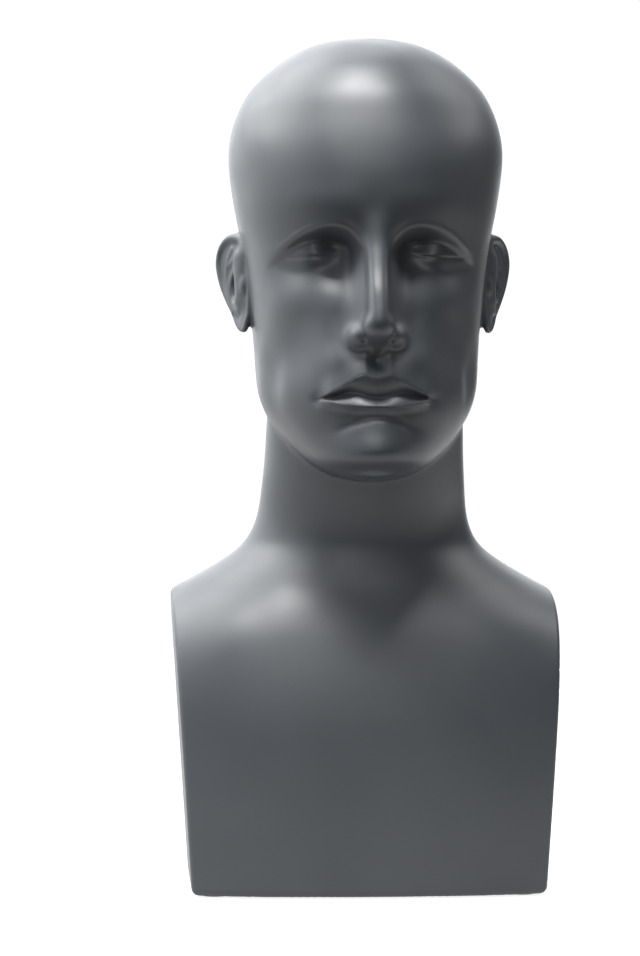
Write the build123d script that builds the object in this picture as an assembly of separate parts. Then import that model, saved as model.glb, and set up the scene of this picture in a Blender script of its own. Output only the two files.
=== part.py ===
"""A display head and bust: two bonded glass-fibre half shells, cast ears, seam tape inside and a base panel.

Millimetres. +Z is up, the face looks along -Y, and +X is the head's own left. The origin is the centre of the
plane that the bust stands on. The hollow bodies are lofted through horizontal sections. Each section is a
closed curve of two half superellipses that meet at its widest point.
"""

from build123d import *

import os
from math import cos, hypot, pi, radians, sin, tan

# Laminate
WALL = 3.5
TAPE = 1.2  # glass tape laid over the joint inside
TAPE_HALF_WIDTH = 12.0
SEAM_Y = 4.0  # the half shells part on this plane, behind the ears
CROWN_TAPE_END_Z = 330.0  # where the tape over the crown meets the two side tapes
CLEARANCE = 0.2  # adhesive line between curved faces

# Flat cuts where the arms would be, leaning in towards the base
CUT_HALF_WIDTH = 97.0  # at the base
CUT_LEAN = 3.7  # degrees
CUT_TOP_Z = 312.0

# Base
PAD_HEIGHT = 1.0
PAD_DIAMETER = 14.0
PAD_X, PAD_Y = 84.0, 56.0
BASE_Z = PAD_HEIGHT  # underside of the shell
FLOOR_Z = BASE_Z + WALL  # top of the flange that closes the shell's underside
OPENING_LENGTH = 146.0
OPENING_DEPTH = 100.0
OPENING_CORNER = 22.0
PANEL_GAP = 0.5
CLEAT_WIDTH = 22.0
CLEAT_HEIGHT = 18.0
CLEAT_LAP = 11.0  # how far a cleat reaches over the opening
LONG_CLEAT = 112.0
SHORT_CLEAT = 64.0
TAB_WIDTH = 12.0  # laminate strip that holds a cleat to the flange
TAB_THICKNESS = 1.5
SCREW_SHANK = 3.5
SCREW_HEAD = 7.0
SCREW_LENGTH = 16.0
SCREW_RECESS = 0.3
SCREW_GAP = 0.1
SCREW_SPREAD = 40.0  # from the middle of a long cleat

# Head
HEAD_FORWARD = 15.0  # the head sits this far in front of the middle of the shoulders

# Ears, on the head before it is set forward
EAR_X, EAR_Y, EAR_Z = 75.5, -8.0, 340.0
EAR_HALF_WIDTH = 16.5
EAR_HALF_HEIGHT = 27.0
EAR_THICKNESS = 8.0
EAR_ROUNDING = 3.6
EAR_ANGLE = 27.0  # degrees that the ear stands off the side of the head
CONCHA_Y, CONCHA_Z = -3.0, -2.0
CONCHA_HALF_WIDTH = 8.5
CONCHA_HALF_HEIGHT = 13.5
CONCHA_DEPTH = 3.5
ROOT_Y = -14.0
ROOT_HALF_DEPTH = 9.0
ROOT_HALF_HEIGHT = 17.0
ROOT_INNER_X = 56.0
ROOT_OUTER_X = 73.0
ROOT_GAP = 0.3
BOND_WIDTH = 5.0
BOND_DEPTH = 4.0

# Face, on the head before it is set forward
EYE_X, EYE_Y, EYE_Z = 33.5, -86.0, 347.5
EYELID_RADIUS = 13.5
UPPER_LIP = ((0.0, -104.5, 277.0), (28.0, 11.5, 6.5))
LOWER_LIP = ((0.0, -104.0, 268.5), (23.0, 11.5, 5.0))

# Sections: height, half width, front, widest point and rear along Y, front and rear exponent. Those of the
# head and the nose are given before the head is set forward.
TORSO = [
    (BASE_Z, 141.2, -82.4, 2.2, 80.4, 2.6, 2.6),
    (32.5, 146.0, -84.0, 3.0, 82.0, 2.6, 2.6),
    (82.5, 152.0, -86.0, 5.0, 84.0, 2.5, 2.5),
    (122.5, 152.0, -82.0, 9.0, 84.0, 2.3, 2.5),
    (142.5, 143.0, -76.0, 13.0, 83.0, 2.2, 2.4),
    (157.5, 124.0, -70.0, 16.0, 80.0, 2.1, 2.3),
    (167.5, 106.5, -66.0, 18.0, 77.0, 2.0, 2.2),
    (174.5, 93.5, -63.5, 19.0, 74.5, 2.0, 2.2),
    (182.5, 79.8, -61.0, 18.0, 71.0, 2.0, 2.1),
    (190.5, 69.0, -59.5, 15.0, 67.0, 2.0, 2.1),
    (199.5, 62.4, -60.5, 9.0, 62.0, 2.0, 2.0),
    (210.5, 58.8, -64.0, 1.0, 56.0, 2.0, 2.0),
    (224.5, 57.0, -70.0, -8.0, 49.0, 2.0, 2.0),
    (242.5, 55.5, -77.0, -17.0, 41.0, 2.0, 2.0),
    (262.5, 55.0, -83.0, -24.0, 35.0, 2.0, 2.0),
    (292.5, 54.0, -89.0, -29.0, 30.0, 2.0, 2.0),
]
HEAD = [
    (227.0, 8.0, -93.0, -76.0, -60.0, 2.0, 2.0),
    (229.5, 18.0, -102.0, -69.0, -42.0, 2.0, 2.0),
    (234.5, 29.0, -109.0, -59.0, -24.0, 2.0, 2.0),
    (242.5, 39.5, -113.0, -47.0, -6.0, 2.0, 2.0),
    (253.5, 49.0, -110.0, -36.0, 11.0, 2.0, 2.0),
    (264.5, 56.0, -108.5, -28.0, 24.0, 2.0, 2.0),
    (276.5, 60.0, -111.5, -22.0, 35.0, 2.0, 2.0),
    (290.5, 61.4, -110.0, -17.0, 45.0, 2.0, 2.0),
    (304.5, 62.3, -107.0, -14.0, 55.0, 2.1, 2.0),
    (320.5, 63.8, -105.5, -12.0, 64.0, 2.1, 2.0),
    (337.5, 65.6, -104.0, -10.0, 71.0, 2.2, 2.0),
    (349.5, 67.2, -106.0, -9.0, 75.0, 2.3, 2.0),
    (360.5, 69.0, -114.5, -8.0, 78.5, 2.3, 2.0),
    (374.5, 71.8, -118.0, -8.0, 82.5, 2.3, 2.0),
    (392.5, 74.8, -117.5, -8.0, 84.5, 2.25, 2.0),
    (407.5, 76.0, -113.8, -9.0, 83.7, 2.2, 2.0),
    (422.5, 74.0, -108.5, -10.0, 80.0, 2.1, 2.0),
    (434.5, 69.5, -103.0, -11.0, 75.0, 2.05, 2.0),
    (444.5, 63.3, -96.0, -12.0, 68.8, 2.0, 2.0),
    (453.0, 54.8, -87.5, -12.5, 60.5, 2.0, 2.0),
    (460.6, 44.8, -75.5, -13.0, 48.5, 2.0, 2.0),
    (465.7, 35.0, -62.5, -13.5, 35.0, 2.0, 2.0),
    (469.0, 25.0, -48.0, -14.0, 20.0, 2.0, 2.0),
    (470.9, 15.0, -32.0, -14.0, 4.0, 2.0, 2.0),
    (471.6, 6.0, -20.0, -14.0, -8.0, 2.0, 2.0),
]
NOSE = [
    (362.5, 5.5, -117.0, -109.0, -100.0, 2.0, 2.0),
    (348.5, 6.5, -116.0, -108.0, -98.0, 2.0, 2.0),
    (331.5, 8.5, -123.5, -110.0, -96.0, 2.0, 2.0),
    (315.5, 12.5, -132.5, -112.0, -96.0, 2.0, 2.0),
    (306.5, 16.3, -132.5, -112.0, -96.0, 2.0, 2.0),
    (298.0, 12.0, -121.0, -110.0, -96.0, 2.0, 2.0),
]
SECTION_GAP = 14.0  # sections further apart than this get more between them
SECTION_POINTS = 28


def slopes(heights, values):
    """Slopes of a smooth curve through the values that never overshoots them."""
    steps = [(b - a) / (q - p) for a, b, p, q in zip(values, values[1:], heights, heights[1:])]
    inner = [0 if a * b <= 0 else 2 * a * b / (a + b) for a, b in zip(steps, steps[1:])]
    return [steps[0], *inner, steps[-1]]


def hermite(low, high, slope_low, slope_high, span, t):
    return (
        (2 * t**3 - 3 * t**2 + 1) * low
        + (t**3 - 2 * t**2 + t) * span * slope_low
        + (3 * t**2 - 2 * t**3) * high
        + (t**3 - t**2) * span * slope_high
    )


def refined(sections):
    """The sections with more between them, where they are far apart."""
    columns = list(zip(*sections))
    tangents = [slopes(columns[0], column) for column in columns]
    result = []
    for i, (low, high) in enumerate(zip(sections, sections[1:])):
        span = high[0] - low[0]
        count = max(1, round(span / SECTION_GAP + 0.49))
        for k in range(count):
            row = [
                hermite(low[c], high[c], tangents[c][i], tangents[c][i + 1], span, k / count)
                for c in range(len(low))
            ]
            result.append(tuple(row))
    return [*result, sections[-1]]


def offset_sections(sections, inset):
    """The sections moved in by inset, square to the surface, so that a crown or a chin keeps its wall."""
    widths = [section[1] for section in sections]
    heights = [section[0] for section in sections]
    result = []
    for section, slope in zip(sections, slopes(heights, widths)):
        z, half_width, front, widest, rear, *powers = section
        side = inset / hypot(1, slope)
        result.append((z + side * slope, half_width - side, front + side, widest, rear - side, *powers))
    return result


def section_face(section):
    z, half_width, front, widest, rear, front_power, rear_power = section
    points = []
    for i in range(SECTION_POINTS):
        angle = 2 * pi * i / SECTION_POINTS
        power, reach = (front_power, widest - front) if sin(angle) < 0 else (rear_power, rear - widest)
        across = abs(cos(angle)) ** (2 / power) * half_width * (1 if cos(angle) >= 0 else -1)
        along = abs(sin(angle)) ** (2 / power) * reach * (1 if sin(angle) >= 0 else -1)
        points.append((across, widest + along, z))
    steps = [i / SECTION_POINTS for i in range(SECTION_POINTS + 1)]
    return Face(Wire([Edge.make_spline(points, periodic=True, parameters=steps)]))


def skin(sections, inset=0.0):
    """Solid lofted through the sections, moved in by inset."""
    return loft([section_face(section) for section in offset_sections(refined(sections), inset)])


def ellipsoid(centre, radii):
    return Pos(*centre) * scale(Sphere(1), by=radii)


def arm_cuts(inset):
    """Block between the two arm cuts, moved in by inset."""
    low = CUT_HALF_WIDTH - inset / cos(radians(CUT_LEAN))
    high = low + CUT_TOP_Z * tan(radians(CUT_LEAN))
    outline = Polyline((-low, 0), (low, 0), (high, CUT_TOP_Z), (-high, CUT_TOP_Z), close=True)
    return extrude(Plane.XZ * make_face(outline), 200, both=True)


def above(z):
    """Everything higher than z."""
    return Pos(0, 0, z) * Box(400, 400, 600, align=(Align.CENTER, Align.CENTER, Align.MIN))


def seam_slab(half_width):
    """Everything within half_width of the parting plane."""
    return Pos(0, SEAM_Y, 250) * Box(400, 2 * half_width, 600)


def head(inset):
    return Pos(0, -HEAD_FORWARD, 0) * skin(HEAD, inset)


def bust(inset):
    """Head, neck and shoulders as one body, moved in by inset."""
    return (skin(TORSO, inset) & arm_cuts(inset)) + head(inset)


def face_features():
    """Nose, closed lids and lips, added to the front of the head."""
    features = skin(NOSE) + ellipsoid(*UPPER_LIP) + ellipsoid(*LOWER_LIP)
    for side in (-1, 1):
        features += Pos(side * EYE_X, EYE_Y, EYE_Z) * Sphere(EYELID_RADIUS)
    return Pos(0, -HEAD_FORWARD, 0) * features


def ear_root(side, grow=0.0, inner=ROOT_INNER_X, outer=ROOT_OUTER_X):
    """Oval spigot along X, by which an ear is held in the side of the head."""
    oval = Ellipse(ROOT_HALF_DEPTH + grow, ROOT_HALF_HEIGHT + grow)
    place = Plane(origin=(inner, ROOT_Y - HEAD_FORWARD, EAR_Z), x_dir=(0, 1, 0), z_dir=(1, 0, 0))
    spigot = extrude(place * oval, outer - inner)
    return spigot if side > 0 else mirror(spigot, Plane.YZ)


def ear(side, keep_clear):
    """One cast ear: a tilted oval plate, round-edged and hollowed, clear of the head, on its spigot."""
    plate = extrude(Plane.YZ * Ellipse(EAR_HALF_WIDTH, EAR_HALF_HEIGHT), EAR_THICKNESS / 2, both=True)
    plate = fillet(plate.edges(), EAR_ROUNDING)
    floor = Plane.YZ.offset(EAR_THICKNESS / 2 - CONCHA_DEPTH) * Pos(CONCHA_Y, CONCHA_Z)
    plate -= extrude(floor * Ellipse(CONCHA_HALF_WIDTH, CONCHA_HALF_HEIGHT), 2 * CONCHA_DEPTH)
    plate = Pos(EAR_X, EAR_Y - HEAD_FORWARD, EAR_Z) * Rot(0, 0, -EAR_ANGLE) * plate
    plate = plate if side > 0 else mirror(plate, Plane.YZ)
    return (plate - keep_clear) + ear_root(side)


def ear_bond(side, inside):
    """Collar of resin putty round an ear's spigot, against the inside of the head."""
    collar = ear_root(side, BOND_WIDTH, ROOT_INNER_X + 2, ROOT_OUTER_X) - ear_root(side, 0.0, 0.0, 100.0)
    return collar & inside


def opening(gap, height):
    """The rounded opening in the base, or what fills it, as a prism up from the underside."""
    outline = RectangleRounded(OPENING_LENGTH - 2 * gap, OPENING_DEPTH - 2 * gap, OPENING_CORNER - gap)
    return extrude(Pos(0, 0, BASE_Z) * outline, height)


def screw_places():
    """Where the panel screws go: two in each long cleat, one in each short one."""
    long_y = OPENING_DEPTH / 2 - CLEAT_LAP / 2
    short_x = OPENING_LENGTH / 2 - CLEAT_LAP / 2
    long_places = [(x, y) for y in (-long_y, long_y) for x in (-SCREW_SPREAD, SCREW_SPREAD)]
    return [*long_places, (-short_x, 0.0), (short_x, 0.0)]


def screw(grow=0.0):
    """Countersunk wood screw, point up, its head just inside the panel's underside."""
    head_depth = (SCREW_HEAD - SCREW_SHANK) / 2
    head_z = BASE_Z + SCREW_RECESS
    head = Pos(0, 0, head_z) * Cone(
        SCREW_HEAD / 2 + grow, SCREW_SHANK / 2 + grow, head_depth, align=(Align.CENTER, Align.CENTER, Align.MIN)
    )
    shank = Pos(0, 0, head_z) * Cylinder(
        SCREW_SHANK / 2 + grow, SCREW_LENGTH + grow, align=(Align.CENTER, Align.CENTER, Align.MIN)
    )
    return head + shank


def screw_holes():
    """Clearance for every screw, with the recess under its head."""
    recess = Pos(0, 0, BASE_Z) * Cylinder(
        SCREW_HEAD / 2 + SCREW_GAP, SCREW_RECESS, align=(Align.CENTER, Align.CENTER, Align.MIN)
    )
    hole = screw(SCREW_GAP) + recess
    holes = [Pos(x, y, 0) * hole for x, y in screw_places()]
    return holes[0].fuse(*holes[1:])


def bar(x, y, length, depth, height):
    """Block on the flange, centred on x and y."""
    return Pos(x, y, FLOOR_Z) * Box(length, depth, height, align=(Align.CENTER, Align.CENTER, Align.MIN))


def cleats():
    """The four wooden cleats round the opening."""
    y = OPENING_DEPTH / 2 - CLEAT_LAP + CLEAT_WIDTH / 2
    x = OPENING_LENGTH / 2 - CLEAT_LAP + CLEAT_WIDTH / 2
    return {
        "front_cleat": bar(0, -y, LONG_CLEAT, CLEAT_WIDTH, CLEAT_HEIGHT),
        "rear_cleat": bar(0, y, LONG_CLEAT, CLEAT_WIDTH, CLEAT_HEIGHT),
        "left_cleat": bar(x, 0, CLEAT_WIDTH, SHORT_CLEAT, CLEAT_HEIGHT),
        "right_cleat": bar(-x, 0, CLEAT_WIDTH, SHORT_CLEAT, CLEAT_HEIGHT),
    }


def long_tab(side):
    """Angle of laminate along the outer edge of a long cleat; side is -1 for the front and 1 for the rear."""
    edge = OPENING_DEPTH / 2 - CLEAT_LAP + CLEAT_WIDTH
    foot = bar(0, side * (edge + TAB_WIDTH / 2), LONG_CLEAT - 12, TAB_WIDTH, TAB_THICKNESS)
    upright = bar(0, side * (edge + TAB_THICKNESS / 2), LONG_CLEAT - 12, TAB_THICKNESS, TAB_WIDTH)
    return foot + upright


def base_panel():
    """Hardboard panel that fills the opening, with its screw holes."""
    return opening(PANEL_GAP, WALL) - screw_holes()


def rubber_feet():
    places = [(0, 0)] + [(x, y) for x in (-PAD_X, PAD_X) for y in (-PAD_Y, PAD_Y)]
    pad = Cylinder(PAD_DIAMETER / 2, PAD_HEIGHT, align=(Align.CENTER, Align.CENTER, Align.MIN))
    return Compound(children=[Pos(x, y, 0) * pad for x, y in places])


def build():
    """Every node of the bust, by name."""
    inside = bust(WALL)
    shell = bust(0) + face_features() - (inside & above(FLOOR_Z)) - opening(0, 2 * WALL)
    for side in (-1, 1):
        shell -= ear_root(side, ROOT_GAP, 30.0, 100.0)
    parting = Plane.XZ.offset(-SEAM_Y)
    nodes = {
        "front_shell": shell.split(parting, keep=Keep.TOP),
        "rear_shell": shell.split(parting, keep=Keep.BOTTOM),
    }

    around = head(-CLEARANCE)
    against_wall = bust(WALL + CLEARANCE)
    for name, side in (("left", 1), ("right", -1)):
        nodes[name + "_ear"] = ear(side, around)
        nodes[name + "_ear_bond"] = ear_bond(side, against_wall)

    tape = (against_wall - bust(WALL + CLEARANCE + TAPE)) & seam_slab(TAPE_HALF_WIDTH) & above(FLOOR_Z)
    nodes["crown_seam_tape"] = tape & above(CROWN_TAPE_END_Z)
    sides = (tape - above(CROWN_TAPE_END_Z)).solids().sort_by(Axis.X)
    nodes["right_seam_tape"], nodes["left_seam_tape"] = sides[0], sides[-1]

    holes = screw_holes()
    nodes.update({name: cleat - holes for name, cleat in cleats().items()})
    nodes["front_cleat_tab"] = long_tab(-1)
    nodes["rear_cleat_tab"] = long_tab(1)
    nodes["base_panel"] = base_panel()
    nodes["panel_screws"] = Compound(children=[Pos(x, y, 0) * screw() for x, y in screw_places()])
    nodes["rubber_feet"] = rubber_feet()
    return nodes


os.makedirs("parts", exist_ok=True)
for name, shape in build().items():
    export_step(shape, f"parts/{name}.step")
    print(name, len(shape.solids()), round(shape.volume), shape.is_valid)
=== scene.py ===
"""A charcoal display head and bust, sculpted as a smooth signed field and meshed where the field is zero.

Sculpting is done in millimetres in the frame's own axes: +Z up, the face looks along -Y, +X is the head's
left, which is the picture's right. A field is negative inside the solid, positive outside, and close to a
distance near the surface.
"""

from math import cos, pi, radians, sin

import bpy
import numpy as np
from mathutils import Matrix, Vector


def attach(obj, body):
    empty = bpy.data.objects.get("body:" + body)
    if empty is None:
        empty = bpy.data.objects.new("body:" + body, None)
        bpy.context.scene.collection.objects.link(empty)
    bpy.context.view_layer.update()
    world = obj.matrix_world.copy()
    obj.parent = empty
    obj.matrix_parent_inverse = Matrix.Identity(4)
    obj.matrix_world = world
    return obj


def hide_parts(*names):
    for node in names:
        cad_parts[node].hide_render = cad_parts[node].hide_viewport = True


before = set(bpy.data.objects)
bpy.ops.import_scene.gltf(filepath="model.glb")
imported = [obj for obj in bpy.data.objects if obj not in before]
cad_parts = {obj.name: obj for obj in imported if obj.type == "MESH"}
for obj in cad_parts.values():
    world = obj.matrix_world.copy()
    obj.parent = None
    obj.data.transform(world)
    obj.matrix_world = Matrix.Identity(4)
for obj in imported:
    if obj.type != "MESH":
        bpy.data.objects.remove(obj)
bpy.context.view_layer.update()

MM = 0.001

# Places shared with the CAD model
WALL = 3.5
SEAM_Y = 4.0
BASE_Z = 1.0
FLOOR_Z = BASE_Z + WALL
HEAD_PLACE = np.array([0.0, -15.0, -7.5])  # where the head's own zero stands: forward and down
OPENING = (146.0, 100.0, 22.0)  # length, depth, corner radius
CUT_HALF_WIDTH = 97.0  # of the arm cuts, at the height of zero
CUT_LEAN = radians(3.7)

# Rounded edges of the bust, and the fillet between head and neck
CUT_EDGE = 2.2
BASE_EDGE = 4.0
NECK_BLEND = 5.0
HEAD_FOOT = 208  # the head's field is worked out above this height only


# ---------------------------------------------------------------- helpers


class Profile:
    """Smooth curves through the rows of a table, all columns at once, against the first column."""

    def __init__(self, rows):
        table = np.array(rows, float)
        self.t, self.y = table[:, 0], table[:, 1:]
        gap = np.diff(self.t)
        count = len(self.t)
        system, right = np.zeros((count, count)), np.zeros((count, self.y.shape[1]))
        system[0, 0] = system[-1, -1] = 1
        for i in range(1, count - 1):
            system[i, i - 1 : i + 2] = gap[i - 1], 2 * (gap[i - 1] + gap[i]), gap[i]
            right[i] = 6 * ((self.y[i + 1] - self.y[i]) / gap[i] - (self.y[i] - self.y[i - 1]) / gap[i - 1])
        self.bend = np.linalg.solve(system, right)

    def __call__(self, t):
        """Values and slopes at t. Past the ends the curves run on straight."""
        inside = np.clip(t, self.t[0], self.t[-1])
        i = np.clip(np.searchsorted(self.t, inside) - 1, 0, len(self.t) - 2)
        gap = (self.t[i + 1] - self.t[i])[:, None]
        b = (inside - self.t[i])[:, None] / gap
        a = 1 - b
        low, high, bend_low, bend_high = self.y[i], self.y[i + 1], self.bend[i], self.bend[i + 1]
        value = a * low + b * high + ((a**3 - a) * bend_low + (b**3 - b) * bend_high) * gap**2 / 6
        slope = (high - low) / gap + ((3 * b**2 - 1) * bend_high - (3 * a**2 - 1) * bend_low) * gap / 6
        return value + slope * (t - inside)[:, None], slope


def smooth_step(t):
    t = np.clip(t, 0, 1)
    return t * t * t * (t * (6 * t - 15) + 10)


def bump(distance, width):
    """1 at distance 0, fading to 0 over about twice the width."""
    return np.exp(-((distance / width) ** 2))


def join(a, b, blend):
    """Union of two fields with a smooth fillet."""
    h = np.maximum(blend - np.abs(a - b), 0) / blend
    return np.minimum(a, b) - h**3 * blend / 6


def carve(a, b, blend):
    """Field a with field b taken out of it, smoothly."""
    return -join(-a, b, blend)


def meet(a, b, radius):
    """Intersection of two fields with its edge rounded to radius."""
    inner = np.minimum(np.maximum(a, b), -radius)
    return inner + np.hypot(np.maximum(a + radius, 0), np.maximum(b + radius, 0))


def ball(p, centre, radii):
    """Ellipsoid field."""
    q = (p - np.array(centre)) / np.array(radii)
    size = np.linalg.norm(q, axis=1)
    steep = np.linalg.norm(q / np.array(radii), axis=1)
    return size * (size - 1) / np.maximum(steep, 1e-6)


def rod(p, start, end, radius_start, radius_end):
    """Tapered rod with round ends."""
    start, along = np.array(start), np.array(end) - np.array(start)
    t = np.clip((p - start) @ along / (along @ along), 0, 1)
    reach = np.linalg.norm(p - start - t[:, None] * along, axis=1)
    return reach - (radius_start + t * (radius_end - radius_start))


# ---------------------------------------------------------------- the bust's field

# Height, half width, front, widest point and rear along Y, front exponent, rear exponent
TORSO = [
    (-20.0, 138.5, -81.5, 1.2, 79.2, 2.6, 2.6),
    (1.0, 141.2, -82.4, 2.2, 80.4, 2.6, 2.6),
    (32.5, 146.0, -84.0, 3.0, 82.0, 2.6, 2.6),
    (82.5, 152.0, -86.0, 5.0, 83.7, 2.5, 2.5),
    (122.5, 152.0, -82.0, 9.0, 83.7, 2.35, 2.5),
    (142.5, 143.0, -76.0, 13.0, 83.0, 2.2, 2.4),
    (157.5, 124.0, -70.0, 16.0, 80.0, 2.1, 2.3),
    (167.5, 106.5, -66.0, 18.0, 77.0, 2.0, 2.2),
    (174.5, 93.5, -63.5, 19.0, 74.5, 2.0, 2.15),
    (182.5, 79.8, -61.0, 18.0, 71.0, 2.0, 2.1),
    (190.5, 69.0, -59.5, 15.0, 67.0, 2.0, 2.05),
    (199.5, 62.4, -60.5, 9.0, 62.0, 2.0, 2.0),
    (210.5, 58.8, -64.0, 1.0, 56.0, 2.0, 2.0),
    (224.5, 57.0, -70.0, -8.0, 49.0, 2.0, 2.0),
    (242.5, 55.5, -77.0, -17.0, 41.0, 2.0, 2.0),
    (262.5, 54.5, -83.0, -24.0, 35.0, 2.0, 2.0),
    (285.0, 50.0, -84.0, -29.0, 26.0, 2.0, 2.0),
    (305.0, 38.0, -74.0, -30.0, 12.0, 2.0, 2.0),
    (318.0, 20.0, -52.0, -31.0, -8.0, 2.0, 2.0),
]
# The same for the head, in its own place before it is set forward and down
HEAD = [
    (234.5, 8.0, -93.0, -76.0, -60.0, 2.0, 2.0),
    (237.0, 18.0, -102.0, -69.0, -42.0, 2.0, 2.0),
    (242.0, 29.0, -108.5, -59.0, -24.0, 2.0, 2.0),
    (250.0, 39.5, -112.0, -47.0, -6.0, 2.05, 2.0),
    (261.0, 49.0, -112.0, -36.0, 11.0, 2.1, 2.0),
    (272.0, 56.0, -111.5, -28.0, 24.0, 2.15, 2.0),
    (284.0, 60.0, -111.5, -22.0, 35.0, 2.2, 2.0),
    (298.0, 61.4, -110.5, -17.0, 45.0, 2.25, 2.0),
    (312.0, 62.3, -108.5, -14.0, 55.0, 2.3, 2.0),
    (328.0, 63.8, -106.5, -12.0, 64.0, 2.3, 2.0),
    (345.0, 65.6, -106.5, -10.0, 71.0, 2.3, 2.0),
    (357.0, 67.2, -109.0, -9.0, 75.0, 2.3, 2.0),
    (368.0, 69.0, -112.8, -8.0, 78.5, 2.3, 2.0),
    (382.0, 71.8, -115.8, -8.0, 82.5, 2.3, 2.0),
    (400.0, 74.8, -117.0, -8.0, 84.5, 2.25, 2.0),
    (415.0, 76.0, -113.8, -9.0, 83.7, 2.2, 2.0),
    (430.0, 74.0, -108.5, -10.0, 80.0, 2.1, 2.0),
    (442.0, 69.5, -103.0, -11.0, 75.0, 2.05, 2.0),
    (452.0, 63.3, -96.0, -12.0, 68.8, 2.0, 2.0),
    (460.5, 54.8, -87.5, -12.5, 60.5, 2.0, 2.0),
    (468.0, 44.8, -75.5, -13.0, 48.5, 2.0, 2.0),
    (473.1, 35.0, -62.5, -13.5, 35.0, 2.0, 2.0),
    (476.4, 25.0, -48.0, -14.0, 20.0, 2.0, 2.0),
]
# The nose's ridge, in the head's own place
RIDGE = [
    (312.0, 6.8, -129.4, -121.0, -104.0, 2.2, 2.0),
    (318.0, 6.4, -132.2, -121.0, -102.0, 2.4, 2.0),
    (325.0, 6.0, -131.0, -119.0, -100.0, 2.6, 2.0),
    (334.0, 5.8, -127.4, -116.0, -98.0, 2.8, 2.0),
    (345.0, 5.7, -121.6, -112.0, -96.0, 2.8, 2.0),
    (355.0, 5.6, -117.1, -109.0, -96.0, 2.8, 2.0),
    (362.0, 5.6, -114.7, -108.0, -96.0, 2.6, 2.0),
    (370.0, 5.4, -113.2, -107.0, -98.0, 2.4, 2.0),
]
# The broad foot of the nose, which runs out into the cheeks
FLANK = [
    (306.0, 10.0, -110.0, -104.0, -92.0, 1.8, 2.0),
    (313.0, 12.6, -117.0, -104.0, -90.0, 1.6, 2.0),
    (322.0, 13.6, -121.0, -103.0, -88.0, 1.5, 2.0),
    (334.0, 13.0, -119.6, -102.0, -88.0, 1.5, 2.0),
    (345.0, 11.8, -115.4, -100.0, -88.0, 1.5, 2.0),
    (355.0, 10.8, -111.8, -98.0, -88.0, 1.5, 2.0),
    (364.0, 10.5, -109.0, -98.0, -88.0, 1.6, 2.0),
]


def section_curves(rows, top=None, bottom=None):
    """By height: squared half width, widest point, width over reach to front and rear, two exponents."""
    table = [
        (z, half**2, widest, half / (widest - front), half / (rear - widest), front_power, rear_power)
        for z, half, front, widest, rear, front_power, rear_power in rows
    ]
    if top is not None:
        table.append((top, 0.0, *table[-1][2:]))
    if bottom is not None:
        table.insert(0, (bottom, 0.0, *table[0][2:]))
    return Profile(table)


TORSO_CURVES = section_curves(TORSO, top=324.0)
HEAD_CURVES = section_curves(HEAD, top=478.9, bottom=233.6)
RIDGE_CURVES = section_curves(RIDGE, top=378.0, bottom=308.0)
FLANK_CURVES = section_curves(FLANK, top=374.0, bottom=302.5)


def sections_field(curves, x, y, z):
    """Field of a body made of horizontal sections, each two half superellipses."""
    value, slope = curves(z)
    square, widest, to_front, to_rear, front_power, rear_power = value.T
    along = y - widest
    front = along < 0
    ratio = np.where(front, to_front, to_rear)
    power = np.where(front, front_power, rear_power)
    size = (np.abs(x) ** power + np.abs(ratio * along) ** power) ** (1 / power)
    steep = np.sqrt(size**2 + (slope[:, 0] / 2) ** 2)
    return (size**2 - square) / (2 * np.maximum(steep, 1))


# ---------------------------------------------------------------- the face, as relief along -Y
# u is the distance from the middle of the face, the same on both sides.

# The face's field is worked out in front of and below these places, and its relief fades in short of them
FACE_REAR, FACE_TOP = -38, 418
RELIEF_REAR, RELIEF_TOP, RELIEF_FADE = -52, 416, 26


def curve_through(*points):
    """A smooth curve through (distance from the middle, height), called with distances for heights."""
    curve = Profile(points)
    return lambda u: curve(u)[0][:, 0]


brow_rim = curve_through(
    (0, 357), (6, 359), (9, 362), (12, 365), (17, 368),
    (25, 369.8), (33, 368.8), (41, 365.8), (48, 361.5), (54, 357),
)
lash_line = curve_through(
    (15, 356.5), (20, 355), (26, 353.8), (32, 353.3), (40, 353.3), (48, 354), (54, 355.2), (60, 356)
)
lid_crease = curve_through(
    (14, 358.5), (20, 361), (28, 362.8), (36, 362.2), (42.5, 360), (48.5, 357.6), (54.5, 355), (60, 352)
)
lower_groove = curve_through(
    (14, 353), (20, 350.5), (27, 347.8), (34, 346), (42, 345.6), (50, 348.5), (58, 352)
)
lip_top = curve_through(
    (0, 288.1), (4, 288.9), (6.5, 289.4), (9, 289.1), (12, 287.7),
    (17, 284.3), (23, 280.9), (29.5, 278.2), (34, 276.6),
)
lip_parting = curve_through(
    (0, 277.6), (4.5, 278.3), (9.3, 279.6), (13.6, 280.3),
    (17, 280.0), (21, 279.2), (26.5, 278.0), (34, 276.8),
)
lip_bottom = curve_through((0, 272.9), (8, 273.1), (15, 273.5), (20, 274.3), (26, 275.6), (34, 276))
chin_crease = curve_through((0, 266), (4, 265.6), (8, 264.6), (14, 262.4), (20, 260), (28, 257))


def window(value, low, high, soft):
    """1 between low and high, 0 outside, with soft edges."""
    return smooth_step((value - low) / soft + 0.5) * smooth_step((high - value) / soft + 0.5)


def patch(u, z, centre_u, centre_z, half_u, half_z):
    """Soft oval patch."""
    return np.exp(-(((u - centre_u) / half_u) ** 2) - (((z - centre_z) / half_z) ** 2))


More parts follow.
